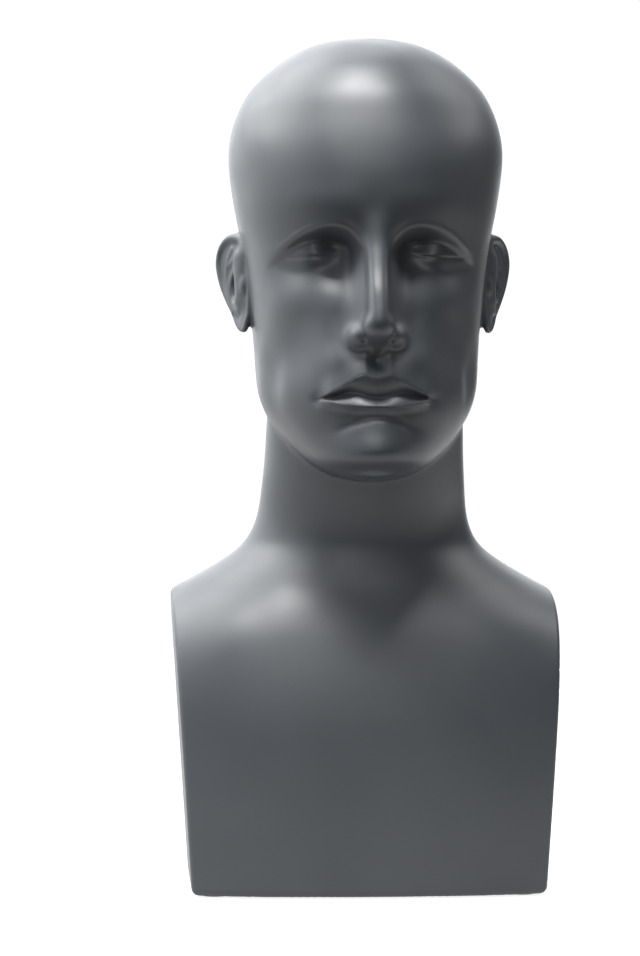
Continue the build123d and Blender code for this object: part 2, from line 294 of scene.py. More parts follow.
def orbit_relief(u, z):
    """Sockets under the brow, closed lids, and the folds round them."""
    rim = brow_rim(u)
    lash = lash_line(u)
    crease = lid_crease(u)
    across = smooth_step((u - 4) / 9) * smooth_step((64 - u) / 26)
    depth = 7.5 + 6.0 * bump(u - 20, 11)
    hollow = depth * across * smooth_step((rim - z) / 9) * smooth_step((z - 322) / 38)
    relief = -hollow - 2.5 * patch(u, z, 14, 358, 6, 10) - 4.0 * patch(u, z, 22, 361, 9, 6)  # inner corners
    relief += 1.2 * patch(u, z, 28, 382, 22, 9)  # brow
    relief += 0.4 * bump(z - rim, 1.5) * window(u, 9, 46, 16)  # a crisp edge over the socket
    relief += 2.8 * patch(u, z, 37, 353, 12, 7.5)  # the eye under its lid
    lid = smooth_step((z - lash) / 1.5) * smooth_step((crease + 1.5 - z) / 5)
    relief += 0.25 * lid * window(u, 20, 46, 12)  # the upper lid, a little proud of the lower
    relief -= 0.3 * bump(z - lash, 1.1) * window(u, 24, 50, 10)  # where the lids meet
    relief -= 0.35 * bump(z - crease, 1.9) * window(u, 30, 58, 12)  # fold of the upper lid
    relief -= 0.5 * bump(z - lower_groove(u), 3.4) * window(u, 20, 54, 14)  # under the eye
    return relief


def mouth_relief(x, u, z):
    """Lips with their parting and borders, the groove above them and the crease below."""
    top, parting, bottom = lip_top(u), lip_parting(u), lip_bottom(u)
    fade = smooth_step((32.5 - u) / 9)
    deep = -1.2  # the bottom of the parting
    away = np.hypot(z - parting, 0.5) - 0.5  # so that the parting has a round bottom
    rise = np.clip(away / np.maximum(top - parting, 1.0), 0, 1)
    fall = np.clip(away / np.maximum(parting - bottom, 1.0), 0, 1)
    upper = deep + 5.0 * (1 - (1 - rise) ** 1.9) - 0.4 * smooth_step((z - top + 0.5) / 1.0)
    over = np.maximum(z - top, 0)
    above = 0.3 + 3.3 * bump(over, 8) - 0.3 * smooth_step(over / 4)
    upper = np.where(z > top, above, upper)
    lower = deep + 4.3 * (1 - (1 - fall) ** 1.4)
    under = np.maximum(bottom - z, 0)
    softer = 1.4 + 1.6 * smooth_step((u - 13) / 10)  # the lower lip's border, softer near the corners
    below = 3.1 - 1.8 * smooth_step(under / softer) - 1.3 * smooth_step(under / 6)
    lower = np.where(z < bottom, below, lower)
    relief = fade * np.where(z >= parting, upper, lower)
    relief -= 1.3 * patch(u, z, 30.5, 276.8, 3.6, 3.2)  # corners
    relief -= 2.3 * bump(x, 3.0) * window(z, 293.5, 310, 7)  # groove under the nose
    relief += 0.7 * patch(u, z, 6.4, 297, 2.4, 7)  # its edges
    crease = chin_crease(u)
    relief -= 1.3 * bump(z - crease - 1.5, 3.2) * smooth_step((26 - u) / 14)
    relief -= 0.25 * bump(z - crease, 1.6) * smooth_step((22 - u) / 12)
    relief += 3.4 * patch(u, z, 0, 251, 16, 8)  # chin
    return relief


def cheek_relief(u, z):
    """Cheekbones, hollows, and the folds beside the nose and mouth."""
    relief = 2.2 * patch(u, z, 44, 334, 14, 12)  # cheekbone
    relief -= 4.2 * patch(u, z, 42, 305, 11, 20)  # hollow of the cheek
    relief += 2.8 * patch(u, z, 20, 297, 9, 9)  # over the corner of the mouth
    relief -= 1.0 * patch(u, z, 20, 320, 5, 9)  # beside the nose
    relief -= 1.4 * patch(u, z, 24, 262, 9, 7)  # beside the chin
    return relief


def face_relief(x, z):
    """How far the face stands out from the plain head, with no crease down its middle."""
    u = np.sqrt(x * x + 0.04)
    return orbit_relief(u, z) + mouth_relief(x, u, z) + cheek_relief(u, z)


def nose_field(p):
    """The nose's flat ridge, its tip, two wings and the bridge between them, with the nostrils."""
    x, y, z = p.T
    mirrored = np.column_stack([np.abs(x), y, z])
    field = sections_field(RIDGE_CURVES, x, y, z)
    field = join(field, ball(p, (0.0, -122.4, 314.8), (7.2, 8.8, 6.2)), 6.0)
    field = join(field, ball(mirrored, (9.3, -108.6, 310.0), (5.7, 8.6, 5.8)), 8.0)
    field = join(field, rod(p, (0.0, -119.0, 310.8), (0.0, -110.0, 307.4), 3.4, 4.4), 6.0)
    return carve(field, ball(mirrored, (7.9, -119.5, 306.6), (2.3, 4.6, 3.6)), 1.6)


def head_field(points):
    """Skull, jaw and face."""
    p = points - HEAD_PLACE
    x, y, z = p.T
    front = (y < FACE_REAR) & (z < FACE_TOP)
    field = sections_field(HEAD_CURVES, x, y, z)
    if front.any():
        q = p[front]
        x, y, z = q.T
        reach = smooth_step((RELIEF_REAR - y) / RELIEF_FADE) * smooth_step((RELIEF_TOP - z) / RELIEF_FADE)
        side = 3.0 * patch(y, z, -64, 290, 14, 17) * smooth_step(np.abs(x) / 30)  # hollow above the jaw
        face = sections_field(HEAD_CURVES, x + np.sign(x) * side, y + face_relief(x, z) * reach, z)
        face = join(face, sections_field(FLANK_CURVES, x, y, z), 11)
        field[front] = join(face, nose_field(q), 7)
    return field


def chest_relief(x, z):
    """Hollow under the throat and the swell of the chest on each side."""
    u = np.sqrt(x * x + 1)
    relief = -3.0 * patch(u, z, 0, 165, 34, 20)
    relief += 1.2 * patch(u, z, 74, 142, 26, 22)
    return relief


def torso_field(p):
    """Neck, shoulders and body, before the arms are cut off."""
    x, y, z = p.T
    front = smooth_step((-20 - y) / 30)
    return sections_field(TORSO_CURVES, x, y + chest_relief(x, z) * front, z)


def bust_field(p):
    """The whole outside of the shell."""
    body = torso_field(p)
    cut = (np.abs(p[:, 0]) - CUT_HALF_WIDTH) * cos(CUT_LEAN) - p[:, 2] * sin(CUT_LEAN)
    body = meet(body, cut, CUT_EDGE)
    high = p[:, 2] > HEAD_FOOT
    field = body
    if high.any():
        field[high] = join(body[high], head_field(p[high]), NECK_BLEND)
    return meet(field, BASE_Z - p[:, 2], BASE_EDGE)


# ---------------------------------------------------------------- the ears
# An ear is sculpted as the left one, on a plane that stands off the head: s runs back along the plate,
# n outward from it, t up. The right ear is its mirror image.

EAR_ROOT = np.array([65.0, -39.0, 338.3])
EAR_LEAN = radians(26)
PLATE_HALF_THICKNESS = 1.5
PLATE_EDGE = 1.3
# Lines of the ear, as (s, t)
EAR_OUTLINE = [
    (3, 20), (8, 24.5), (16, 26.3), (25, 25.6), (32.5, 21), (36, 13), (35, 5), (31.5, -3),
    (26, -10.5), (20, -18.5), (14, -24.5), (8, -28.3), (2, -28), (-2, -20), (-3, 0), (0, 12),
]
HELIX = [
    (5, 2), (3.5, 10), (4.5, 18), (9.5, 22.8), (17, 24.3), (25, 23.4),
    (31.2, 19), (33.8, 12), (32.6, 4.5), (29, -3.5), (24, -10.5), (17.5, -17),
]
ANTIHELIX = [(19, 17.5), (23.5, 12), (25, 4), (23.5, -4), (19.5, -11), (14, -15.5), (9, -16.5)]
CRUS = [(9, 15.5), (15, 14), (21, 9.5)]


def smooth_path(points, closed=False, steps=5):
    """Points along a curve that passes smoothly through the given ones."""
    corners = np.array(points, float)
    if closed:
        before, after = np.roll(corners, 1, axis=0), np.roll(corners, -1, axis=0)
        last = np.roll(corners, -2, axis=0)
    else:
        padded = np.vstack([corners[:1], corners, corners[-1:]])
        before, corners, after, last = padded[:-3], padded[1:-2], padded[2:-1], padded[3:]
    square = 2 * before - 5 * corners + 4 * after - last
    cube = 3 * corners - before - 3 * after + last
    result = []
    for t in np.arange(steps) / steps:
        result.append(0.5 * ((2 * corners) + (after - before) * t + square * t**2 + cube * t**3))
    path = np.stack(result, axis=1).reshape(-1, 2)
    return path if closed else np.vstack([path, after[-1:]])


def path_distance(path, s, t, closed=False):
    """Distance from (s, t) to the path, and how far along the path the nearest point is, from 0 to 1."""
    ends = np.roll(path, -1, axis=0) if closed else path[1:]
    starts = path if closed else path[:-1]
    best, where = np.full(len(s), 1e9), np.zeros(len(s))
    for k, ((a, b), (c, d)) in enumerate(zip(starts, ends)):
        ds, dt = c - a, d - b
        along = np.clip(((s - a) * ds + (t - b) * dt) / max(ds * ds + dt * dt, 1e-9), 0, 1)
        reach = np.hypot(s - a - along * ds, t - b - along * dt)
        closer = reach < best
        best = np.where(closer, reach, best)
        where = np.where(closer, (k + along) / len(starts), where)
    return best, where


def inside_outline(path, s, t):
    """Whether (s, t) is inside the closed path."""
    inside = np.zeros(len(s), bool)
    for (a, b), (c, d) in zip(path, np.roll(path, -1, axis=0)):
        crosses = (b > t) != (d > t)
        slant = (c - a) * (t - b) / (d - b if d != b else 1e-9) + a
        inside ^= crosses & (s < slant)
    return inside


OUTLINE_PATH = smooth_path(EAR_OUTLINE, closed=True)
HELIX_PATH, ANTIHELIX_PATH, CRUS_PATH = smooth_path(HELIX), smooth_path(ANTIHELIX), smooth_path(CRUS)


def ridge_on_ear(path, s, n, t, height, radius_start, radius_end):
    """Rounded ridge along a path, its middle at that height over the plate."""
    reach, where = path_distance(path, s, t)
    return np.hypot(reach, n - height) - (radius_start + where * (radius_end - radius_start))


def plate_field(s, n, t):
    """The ear's plate: rimmed by the helix, with the antihelix, the concha and the lobe."""
    reach, _ = path_distance(OUTLINE_PATH, s, t, closed=True)
    edge = np.where(inside_outline(OUTLINE_PATH, s, t), -reach, reach)
    middle = 1.2 * ((s - 17) / 18) ** 2 - 1.0 + 1.4 * smooth_step((-14 - t) / 14)
    field = meet(edge, np.abs(n - middle) - PLATE_HALF_THICKNESS, PLATE_EDGE)
    helix, along = path_distance(HELIX_PATH, s, t)
    rim_radius = 2.3 - 0.9 * along**2 - 0.6 * (1 - smooth_step(along / 0.1))
    field = join(field, np.hypot(helix, n - middle - 0.9) - rim_radius, 2.4)
    field = join(field, ridge_on_ear(ANTIHELIX_PATH, s, n - middle, t, 0.2, 1.8, 2.8), 4.0)
    field = join(field, ridge_on_ear(CRUS_PATH, s, n - middle, t, 0.0, 1.4, 2.0), 3.5)
    p = np.column_stack([s, n - middle, t])
    concha_wall = ball(p, (13.0, -3.0, -2.5), (11.5, 6.5, 13.5))
    concha = ball(p, (12.0, 3.0, -3.0), (7.5, 6.5, 9.5))
    tragus = ball(p, (2.2, 1.0, -3.0), (3.0, 3.0, 5.4))
    field = carve(join(field, concha_wall, 4.0), concha, 3.5)
    return join(field, tragus, 2.0)


def ear_coordinates(p):
    """The points as (s, n, t) of the left ear."""
    q = p - EAR_ROOT
    s = q[:, 0] * sin(EAR_LEAN) + q[:, 1] * cos(EAR_LEAN)
    n = q[:, 0] * cos(EAR_LEAN) - q[:, 1] * sin(EAR_LEAN)
    return s, n, q[:, 2]


def left_ear_field(p):
    """The ear on its root and neck, with a fillet that runs out just under the skin of the head."""
    s, n, t = ear_coordinates(p)
    plate = plate_field(s, n, t)
    skull = sections_field(HEAD_CURVES, *(p - HEAD_PLACE).T)
    root = rod(p, (64.0, -34.0, 352.0), (63.5, -34.0, 318.0), 6.0, 5.0)
    neck = rod(p, (66.0, -30.0, 350.0), (66.0, -30.0, 328.0), 7.5, 6.5)
    plate = join(join(plate, root, 5), neck, 6)
    whole = join(plate, skull + 0.25, 5)
    region = np.maximum(plate - 3.2, -skull - 7.0)
    return np.maximum(whole, region)


# ---------------------------------------------------------------- meshing

FIELD_BLOCKS = 12  # a grid is worked out in this many blocks, to save memory
ON_SURFACE = 0.3  # a corner this near to zero lies on the field's surface


def gradient(field, points, step=0.05):
    """Steepest ascent of the field at the points."""
    corners = np.array([(1, 1, 1), (1, -1, -1), (-1, 1, -1), (-1, -1, 1)], float)
    total = np.zeros_like(points)
    for corner in corners:
        total += corner * field(points + step * corner)[:, None]
    return total / (4 * step)


def settle(field, points, rounds, longest=2.0):
    """Points moved onto the field's surface, none further than the longest move in one round."""
    for _ in range(rounds):
        slope = gradient(field, points)
        steep = np.maximum((slope**2).sum(axis=1), 1e-3)
        move = slope * (field(points) / steep)[:, None]
        length = np.linalg.norm(move, axis=1, keepdims=True)
        points = points - move * np.minimum(1, longest / np.maximum(length, 1e-9))
    return points


def surface_net(field, low, high, step):
    """Triangle mesh of the field's surface on a regular grid."""
    axes = [np.arange(a, b + step, step) for a, b in zip(low, high)]
    grid = np.stack(np.meshgrid(*axes, indexing="ij"), axis=-1)
    shape = grid.shape[:3]
    blocks = np.array_split(grid, FIELD_BLOCKS)
    values = np.concatenate([field(block.reshape(-1, 3)) for block in blocks]).reshape(shape)
    cells = tuple(n - 1 for n in shape)
    total, count = np.zeros((*cells, 3)), np.zeros(cells)
    crossings = []
    for axis in range(3):
        first = tuple(slice(0, -1) if k == axis else slice(None) for k in range(3))
        second = tuple(slice(1, None) if k == axis else slice(None) for k in range(3))
        a, b = values[first], values[second]
        cross = (a < 0) != (b < 0)
        part = np.where(cross, a / np.where(cross, a - b, 1), 0)[..., None]
        point = (grid[first] * (1 - part) + grid[second] * part) * cross[..., None]
        others = [k for k in range(3) if k != axis]
        for i in (0, 1):
            for j in (0, 1):
                piece = [slice(None)] * 3
                piece[others[0]] = slice(i, cells[others[0]] + i)
                piece[others[1]] = slice(j, cells[others[1]] + j)
                total += point[tuple(piece)]
                count += cross[tuple(piece)]
        crossings.append((axis, others, cross, a < 0))
    used = count > 0
    index = np.full(cells, -1)
    index[used] = np.arange(used.sum())
    points = total[used] / count[used][:, None]
    quads = []
    for axis, others, cross, inside in crossings:
        where = np.argwhere(cross)
        keep = (where[:, others[0]] > 0) & (where[:, others[1]] > 0)
        keep &= (where[:, others[0]] < cells[others[0]]) & (where[:, others[1]] < cells[others[1]])
        where = where[keep]
        ring = []
        for i, j in ((-1, -1), (0, -1), (0, 0), (-1, 0)):
            cell = where.copy()
            cell[:, others[0]] += i
            cell[:, others[1]] += j
            ring.append(index[tuple(cell.T)])
        quad = np.column_stack(ring)
        flip = inside[tuple(where.T)] == (axis == 1)
        quad[flip] = quad[flip][:, ::-1]
        quads.append(quad)
    quads = np.concatenate(quads)
    return points, np.concatenate([quads[:, [0, 1, 2]], quads[:, [0, 2, 3]]])


def refine(points, triangles, wanted):
    """Every edge much longer than the wanted length at its middle is split in two, once."""
    sides = np.concatenate([triangles[:, [0, 1]], triangles[:, [1, 2]], triangles[:, [2, 0]]])
    sides.sort(axis=1)
    edges, where = np.unique(sides, axis=0, return_inverse=True)
    where = where.reshape(3, -1).T
    middle = (points[edges[:, 0]] + points[edges[:, 1]]) / 2
    length = np.linalg.norm(points[edges[:, 0]] - points[edges[:, 1]], axis=1)
    split = length > 1.4 * wanted(middle)
    new = np.full(len(edges), -1)
    new[split] = len(points) + np.arange(split.sum())
    points = np.concatenate([points, middle[split]])
    halves = new[where]
    marks = halves >= 0
    number = marks.sum(axis=1)
    result = [triangles[number == 0]]
    chosen = number == 3
    t, m = triangles[chosen], halves[chosen]
    result += [
        np.column_stack([t[:, 0], m[:, 0], m[:, 2]]),
        np.column_stack([t[:, 1], m[:, 1], m[:, 0]]),
        np.column_stack([t[:, 2], m[:, 2], m[:, 1]]),
        np.column_stack([m[:, 0], m[:, 1], m[:, 2]]),
    ]
    for turn in range(3):
        order = [turn, (turn + 1) % 3, (turn + 2) % 3]
        one = (number == 1) & marks[:, turn]
        t, m = triangles[one][:, order], halves[one][:, order]
        result += [np.column_stack([t[:, 0], m[:, 0], t[:, 2]]), np.column_stack([m[:, 0], t[:, 1], t[:, 2]])]
        two = (number == 2) & ~marks[:, order[2]]
        t, m = triangles[two][:, order], halves[two][:, order]
        result += [
            np.column_stack([m[:, 0], t[:, 1], m[:, 1]]),
            np.column_stack([t[:, 0], m[:, 0], m[:, 1]]),
            np.column_stack([t[:, 0], m[:, 1], t[:, 2]]),
        ]
    return points, np.concatenate(result)


def relax(field, points, triangles, rounds):
    """Points evened out along the surface."""
    sides = np.concatenate([triangles[:, [0, 1]], triangles[:, [1, 2]], triangles[:, [2, 0]]])
    for _ in range(rounds):
        total, count = np.zeros_like(points), np.zeros(len(points))
        for a, b in ((0, 1), (1, 0)):
            np.add.at(total, sides[:, a], points[sides[:, b]])
            np.add.at(count, sides[:, a], 1)
        points = settle(field, points + 0.5 * (total / count[:, None] - points), 1)
    return points


def sculpt(field, low, high, step, wanted, passes):
    """Closed triangle mesh of the field, with triangles of the wanted size."""
    points, triangles = surface_net(field, low, high, step)
    points = settle(field, points, 3)
    points = relax(field, points, triangles, 2)
    for _ in range(passes):
        points, triangles = refine(points, triangles, wanted)
        points = settle(field, points, 2)
        points = relax(field, points, triangles, 1)
    return settle(field, points, 2), triangles


def mesh_object(name, points, faces):
    """Blender object from points in millimetres."""
    mesh = bpy.data.meshes.new(name)
    mesh.from_pydata((points * MM).tolist(), [], faces.tolist() if hasattr(faces, "tolist") else faces)
    mesh.update()
    piece = bpy.data.objects.new(name, mesh)
    bpy.context.collection.objects.link(piece)
    return piece


def cut_with(piece, tool, operation):
    """Boolean of two closed meshes, applied."""
    modifier = piece.modifiers.new("cut", "BOOLEAN")
    modifier.object, modifier.operation, modifier.solver = tool, operation, "MANIFOLD"
    graph = bpy.context.evaluated_depsgraph_get()
    mesh = bpy.data.meshes.new_from_object(piece.evaluated_get(graph))
    piece.modifiers.clear()
    old, piece.data = piece.data, mesh
    bpy.data.meshes.remove(old)


def box_tool(low, high):
    """Box to cut with."""
    x0, y0, z0 = low
    x1, y1, z1 = high
    points = np.array([(x, y, z) for z in (z0, z1) for y in (y0, y1) for x in (x0, x1)], float)
    faces = [(0, 2, 3, 1), (4, 5, 7, 6), (0, 1, 5, 4), (2, 6, 7, 3), (0, 4, 6, 2), (1, 3, 7, 5)]
    return mesh_object("tool", points, faces)


def opening_tool():
    """Prism that cuts the rounded opening through the base."""
    length, depth, corner = OPENING
    outline = []
    for k in range(OPENING_POINTS):
        angle = 2 * pi * (k + 0.5) / OPENING_POINTS
        centre_x = np.sign(cos(angle)) * (length / 2 - corner)
        centre_y = np.sign(sin(angle)) * (depth / 2 - corner)
        outline.append((centre_x + corner * cos(angle), centre_y + corner * sin(angle)))
    count = len(outline)
    heights = (BASE_Z - OPENING_MARGIN, FLOOR_Z + OPENING_MARGIN)
    points = np.array([(x, y, z) for z in heights for x, y in outline])
    faces = [tuple(reversed(range(count))), tuple(range(count, 2 * count))]
    faces += [(k, (k + 1) % count, count + (k + 1) % count, count + k) for k in range(count)]
    return mesh_object("tool", points, faces)


def discard(piece):
    """The object and its mesh are removed."""
    mesh = piece.data
    bpy.data.objects.remove(piece)
    bpy.data.meshes.remove(mesh)


def shade_from_field(piece, field):
    """Normals taken from the field where a corner lies on it and agrees, and from the face elsewhere."""
    mesh = piece.data
    count = len(mesh.vertices)
    points = np.empty(count * 3)
    mesh.vertices.foreach_get("co", points)
    points = points.reshape(-1, 3) / MM
    slope = gradient(field, points)
    slope /= np.maximum(np.linalg.norm(slope, axis=1, keepdims=True), 1e-9)
    on_surface = np.abs(field(points)) < ON_SURFACE
    corner_vertex = np.empty(len(mesh.loops), int)
    mesh.loops.foreach_get("vertex_index", corner_vertex)
    flat = np.empty(len(mesh.polygons) * 3)
    mesh.polygons.foreach_get("normal", flat)
    sizes = np.empty(len(mesh.polygons), int)
    mesh.polygons.foreach_get("loop_total", sizes)
    flat = np.repeat(flat.reshape(-1, 3), sizes, axis=0)
    normals = slope[corner_vertex]
    agree = (normals * flat).sum(axis=1) > 0.6
    normals = np.where((agree & on_surface[corner_vertex])[:, None], normals, flat)
    mesh.shade_smooth()
    mesh.normals_split_custom_set(normals.tolist())


# ---------------------------------------------------------------- the parts of the shell

# Corners of the space that each field is meshed in, and the first grid's step
SHELL_SPACE = (-114, -152, -3), (114, 92, 482)
OUTER_STEP = 4.0
INNER_STEP = 5.0
EAR_SPACE = (52, -50, 305), (95, 2, 374)
EAR_STEP = 1.6

# Wanted triangle sizes
BODY_SIZE = 5.0
HEAD_SIZE = 3.2
FACE_SIZE = 1.7
FEATURES_SIZE = 1.2
EYE_AND_NOSE_SIZE = 0.75
MOUTH_SIZE = 0.6
CUT_EDGE_SIZE = 1.3
BASE_EDGE_SIZE = 2.0
EAR_SIZE = 1.1

# The tools that the shell is cut with reach past it
OPENING_POINTS = 48
OPENING_MARGIN = 5
HALF_REACH = 300
HALF_FOOT, HALF_TOP = -50, 600


def shell_size(p):
    """Wanted triangle size: fine on the face and along the rounded edges, coarse elsewhere."""
    x, y, z = (p - HEAD_PLACE).T
    u = np.abs(x)
    size = np.full(len(p), BODY_SIZE)
    head = z > 225
    size[head] = HEAD_SIZE
    face = head & (y < -63) & (z < 385)
    size[face] = FACE_SIZE
    features = face & (y < -73) & (u < 58) & (z > 240) & (z < 380)
    size[features] = FEATURES_SIZE
    eye = features & (z > 340) & (z < 374) & (u > 10)
    mouth = features & (z > 262) & (z < 294) & (u < 34)
    nose = features & (z > 294) & (z < 330) & (u < 20)
    size[eye | nose] = EYE_AND_NOSE_SIZE
    size[mouth] = MOUTH_SIZE
    z = p[:, 2]
    cut = np.abs((u - CUT_HALF_WIDTH) * cos(CUT_LEAN) - z * sin(CUT_LEAN) + 0.5 * CUT_EDGE)
    near_cut = (cut < 1.6) & (z < 200) & (np.abs(torso_field(p)) < 2.5)
    size[near_cut] = CUT_EDGE_SIZE
    under_side = np.abs(z - BASE_Z) <= 0.05
    size[(z < BASE_Z + 5) & (z > BASE_Z - 1) & ~near_cut & ~under_side] = BASE_EDGE_SIZE
    return size


def inner_field(p):
    """The hollow inside the shell: the outside moved in by the wall, down to the top of the base."""
    return np.maximum(bust_field(p) + WALL, FLOOR_Z - p[:, 2])


def make_shells():
    """The hollow shell with the opening in its base, cut in two along the seam."""
    points, triangles = sculpt(bust_field, *SHELL_SPACE, OUTER_STEP, shell_size, 3)
    outer = mesh_object("outer", points, triangles)
    inner_points, inner_triangles = surface_net(inner_field, *SHELL_SPACE, INNER_STEP)
    inner_points = settle(inner_field, inner_points, 3)
    inner = mesh_object("inner", inner_points, inner_triangles)
    cut_with(outer, inner, "DIFFERENCE")
    opening = opening_tool()
    cut_with(outer, opening, "DIFFERENCE")
    pieces = {}
    halves = {"front_shell": (-HALF_REACH, SEAM_Y), "rear_shell": (SEAM_Y, HALF_REACH)}
    for name, (start, end) in halves.items():
        piece = bpy.data.objects.new(name + "_sculpted", outer.data.copy())
        bpy.context.collection.objects.link(piece)
        keep = box_tool((-HALF_REACH, start, HALF_FOOT), (HALF_REACH, end, HALF_TOP))
        cut_with(piece, keep, "INTERSECT")
        discard(keep)
        shade_from_field(piece, bust_field)
        pieces[name] = piece
    for tool in (outer, inner, opening):
        discard(tool)
    return pieces


def ear_size(p):
    """Wanted triangle size, the same all over the ear."""
    return np.full(len(p), EAR_SIZE)


def make_ears():
    """The left ear, and the right one mirrored from it."""
    points, triangles = sculpt(left_ear_field, *EAR_SPACE, EAR_STEP, ear_size, 1)
    pieces = {}
    for name, side in (("left_ear", 1), ("right_ear", -1)):
        flipped = triangles if side > 0 else triangles[:, ::-1]
        piece = mesh_object(name + "_sculpted", points * (side, 1, 1), flipped)
        shade_from_field(piece, lambda p: left_ear_field(p * (side, 1, 1)))
        pieces[name] = piece
    return pieces


# ---------------------------------------------------------------- materials


def node_material(name):
    """A new material, with its nodes, its links and its shader."""
    material = bpy.data.materials.new(name)
    material.use_nodes = True
    nodes = material.node_tree.nodes
    return material, nodes, material.node_tree.links, nodes["Principled BSDF"]


def noise(nodes, links, scale, detail, stretch=(1, 1, 1)):
    """Noise over the object's own place, in metres, so that scale counts bumps to a metre."""
    place = nodes.new("ShaderNodeTexCoord")
    mapping = nodes.new("ShaderNodeMapping")
    mapping.inputs["Scale"].default_value = stretch
    texture = nodes.new("ShaderNodeTexNoise")
    texture.inputs["Scale"].default_value = scale
    texture.inputs["Detail"].default_value = detail
    links.new(place.outputs["Object"], mapping.inputs["Vector"])
    links.new(mapping.outputs["Vector"], texture.inputs["Vector"])
    return texture.outputs["Fac"]


def spread(nodes, links, value, low, high, start=0.3, end=0.7):
    """The value stretched from start..end to low..high."""
    node = nodes.new("ShaderNodeMapRange")
    node.inputs["From Min"].default_value, node.inputs["From Max"].default_value = start, end
    node.inputs["To Min"].default_value, node.inputs["To Max"].default_value = low, high
    links.new(value, node.inputs["Value"])
    return node.outputs["Result"]


def between(nodes, links, value, low, high, start=0.3, end=0.7):
    """Colour that runs from low to high as the value rises."""
    ramp = nodes.new("ShaderNodeValToRGB")
    first, last = ramp.color_ramp.elements
    first.position, first.color = start, (*low, 1)
    last.position, last.color = end, (*high, 1)
    links.new(value, ramp.inputs["Fac"])
    return ramp.outputs["Color"]


def bumps(nodes, links, shader, height, strength, distance):
    """The height as relief on the shader, at most the distance deep, in metres."""
    node = nodes.new("ShaderNodeBump")
    node.inputs["Strength"].default_value = strength
    node.inputs["Distance"].default_value = distance
    links.new(height, node.inputs["Height"])
    links.new(node.outputs["Normal"], shader.inputs["Normal"])


def lacquer():
    """Satin charcoal lacquer: faint orange peel, with a little cloudiness in its colour and gloss."""
    material, nodes, links, shader = node_material("satin_charcoal_lacquer")
    cloud = noise(nodes, links, 14, 4)
    charcoal = between(nodes, links, cloud, (0.030, 0.034, 0.039), (0.038, 0.042, 0.047))
    links.new(charcoal, shader.inputs["Base Color"])
    links.new(spread(nodes, links, noise(nodes, links, 45, 4), 0.41, 0.48), shader.inputs["Roughness"])
    bumps(nodes, links, shader, noise(nodes, links, 900, 2), 0.10, 0.0002)
    return material


def putty():
    """Grey filled resin, trowelled and a little lumpy."""
    material, nodes, links, shader = node_material("cured_resin_putty")
    lump = noise(nodes, links, 160, 5)
    grey = between(nodes, links, lump, (0.46, 0.47, 0.44), (0.62, 0.63, 0.59))
    links.new(grey, shader.inputs["Base Color"])
    links.new(spread(nodes, links, lump, 0.55, 0.75), shader.inputs["Roughness"])
    bumps(nodes, links, shader, lump, 0.5, 0.0008)
    return material


def laminate():
    """Bare glass-fibre tape in resin: a crossed weave that shows through."""
    material, nodes, links, shader = node_material("bare_glass_laminate")
    warp = noise(nodes, links, 60, 2, (1, 12, 1))
    weft = noise(nodes, links, 60, 2, (12, 1, 12))
    cross = nodes.new("ShaderNodeMath")
    cross.operation = "MAXIMUM"
    links.new(warp, cross.inputs[0])
    links.new(weft, cross.inputs[1])
    weave = cross.outputs["Value"]
    straw = between(nodes, links, weave, (0.42, 0.40, 0.27), (0.66, 0.64, 0.50))
    links.new(straw, shader.inputs["Base Color"])
    links.new(spread(nodes, links, weave, 0.30, 0.55), shader.inputs["Roughness"])
    bumps(nodes, links, shader, weave, 0.5, 0.0004)
    return material


def hardboard():
    """Brown hardboard: smooth face with fine fibres."""
    material, nodes, links, shader = node_material("brown_hardboard")
    fibre = noise(nodes, links, 700, 6)
    brown = between(nodes, links, fibre, (0.13, 0.075, 0.04), (0.24, 0.15, 0.085))
    links.new(brown, shader.inputs["Base Color"])
    links.new(spread(nodes, links, noise(nodes, links, 40, 3), 0.45, 0.65), shader.inputs["Roughness"])
    bumps(nodes, links, shader, fibre, 0.25, 0.0002)
    return material


def softwood(name, grain):
    """Sawn softwood with its grain along the piece."""
    material, nodes, links, shader = node_material(name)
    rings = noise(nodes, links, 90, 4, grain)
    tan = between(nodes, links, rings, (0.42, 0.27, 0.13), (0.70, 0.53, 0.32))
    links.new(tan, shader.inputs["Base Color"])
    links.new(spread(nodes, links, rings, 0.75, 0.55), shader.inputs["Roughness"])
    bumps(nodes, links, shader, rings, 0.4, 0.0005)
    return material


def zinc():
    """Zinc-plated steel, finely brushed."""
    material, nodes, links, shader = node_material("zinc_plated_steel")
    brush = noise(nodes, links, 1500, 3, (1, 8, 1))
    shader.inputs["Metallic"].default_value = 1.0
    silver = between(nodes, links, brush, (0.52, 0.53, 0.54), (0.68, 0.69, 0.69))
    links.new(silver, shader.inputs["Base Color"])
    links.new(spread(nodes, links, brush, 0.28, 0.42), shader.inputs["Roughness"])
    return material


def rubber():
    """Black rubber with a fine matt skin."""
    material, nodes, links, shader = node_material("black_rubber")
    skin = noise(nodes, links, 1200, 4)
    black = between(nodes, links, skin, (0.018, 0.018, 0.018), (0.034, 0.034, 0.034))
    links.new(black, shader.inputs["Base Color"])
    links.new(spread(nodes, links, skin, 0.7, 0.9), shader.inputs["Roughness"])
    bumps(nodes, links, shader, skin, 0.3, 0.0002)
    return material


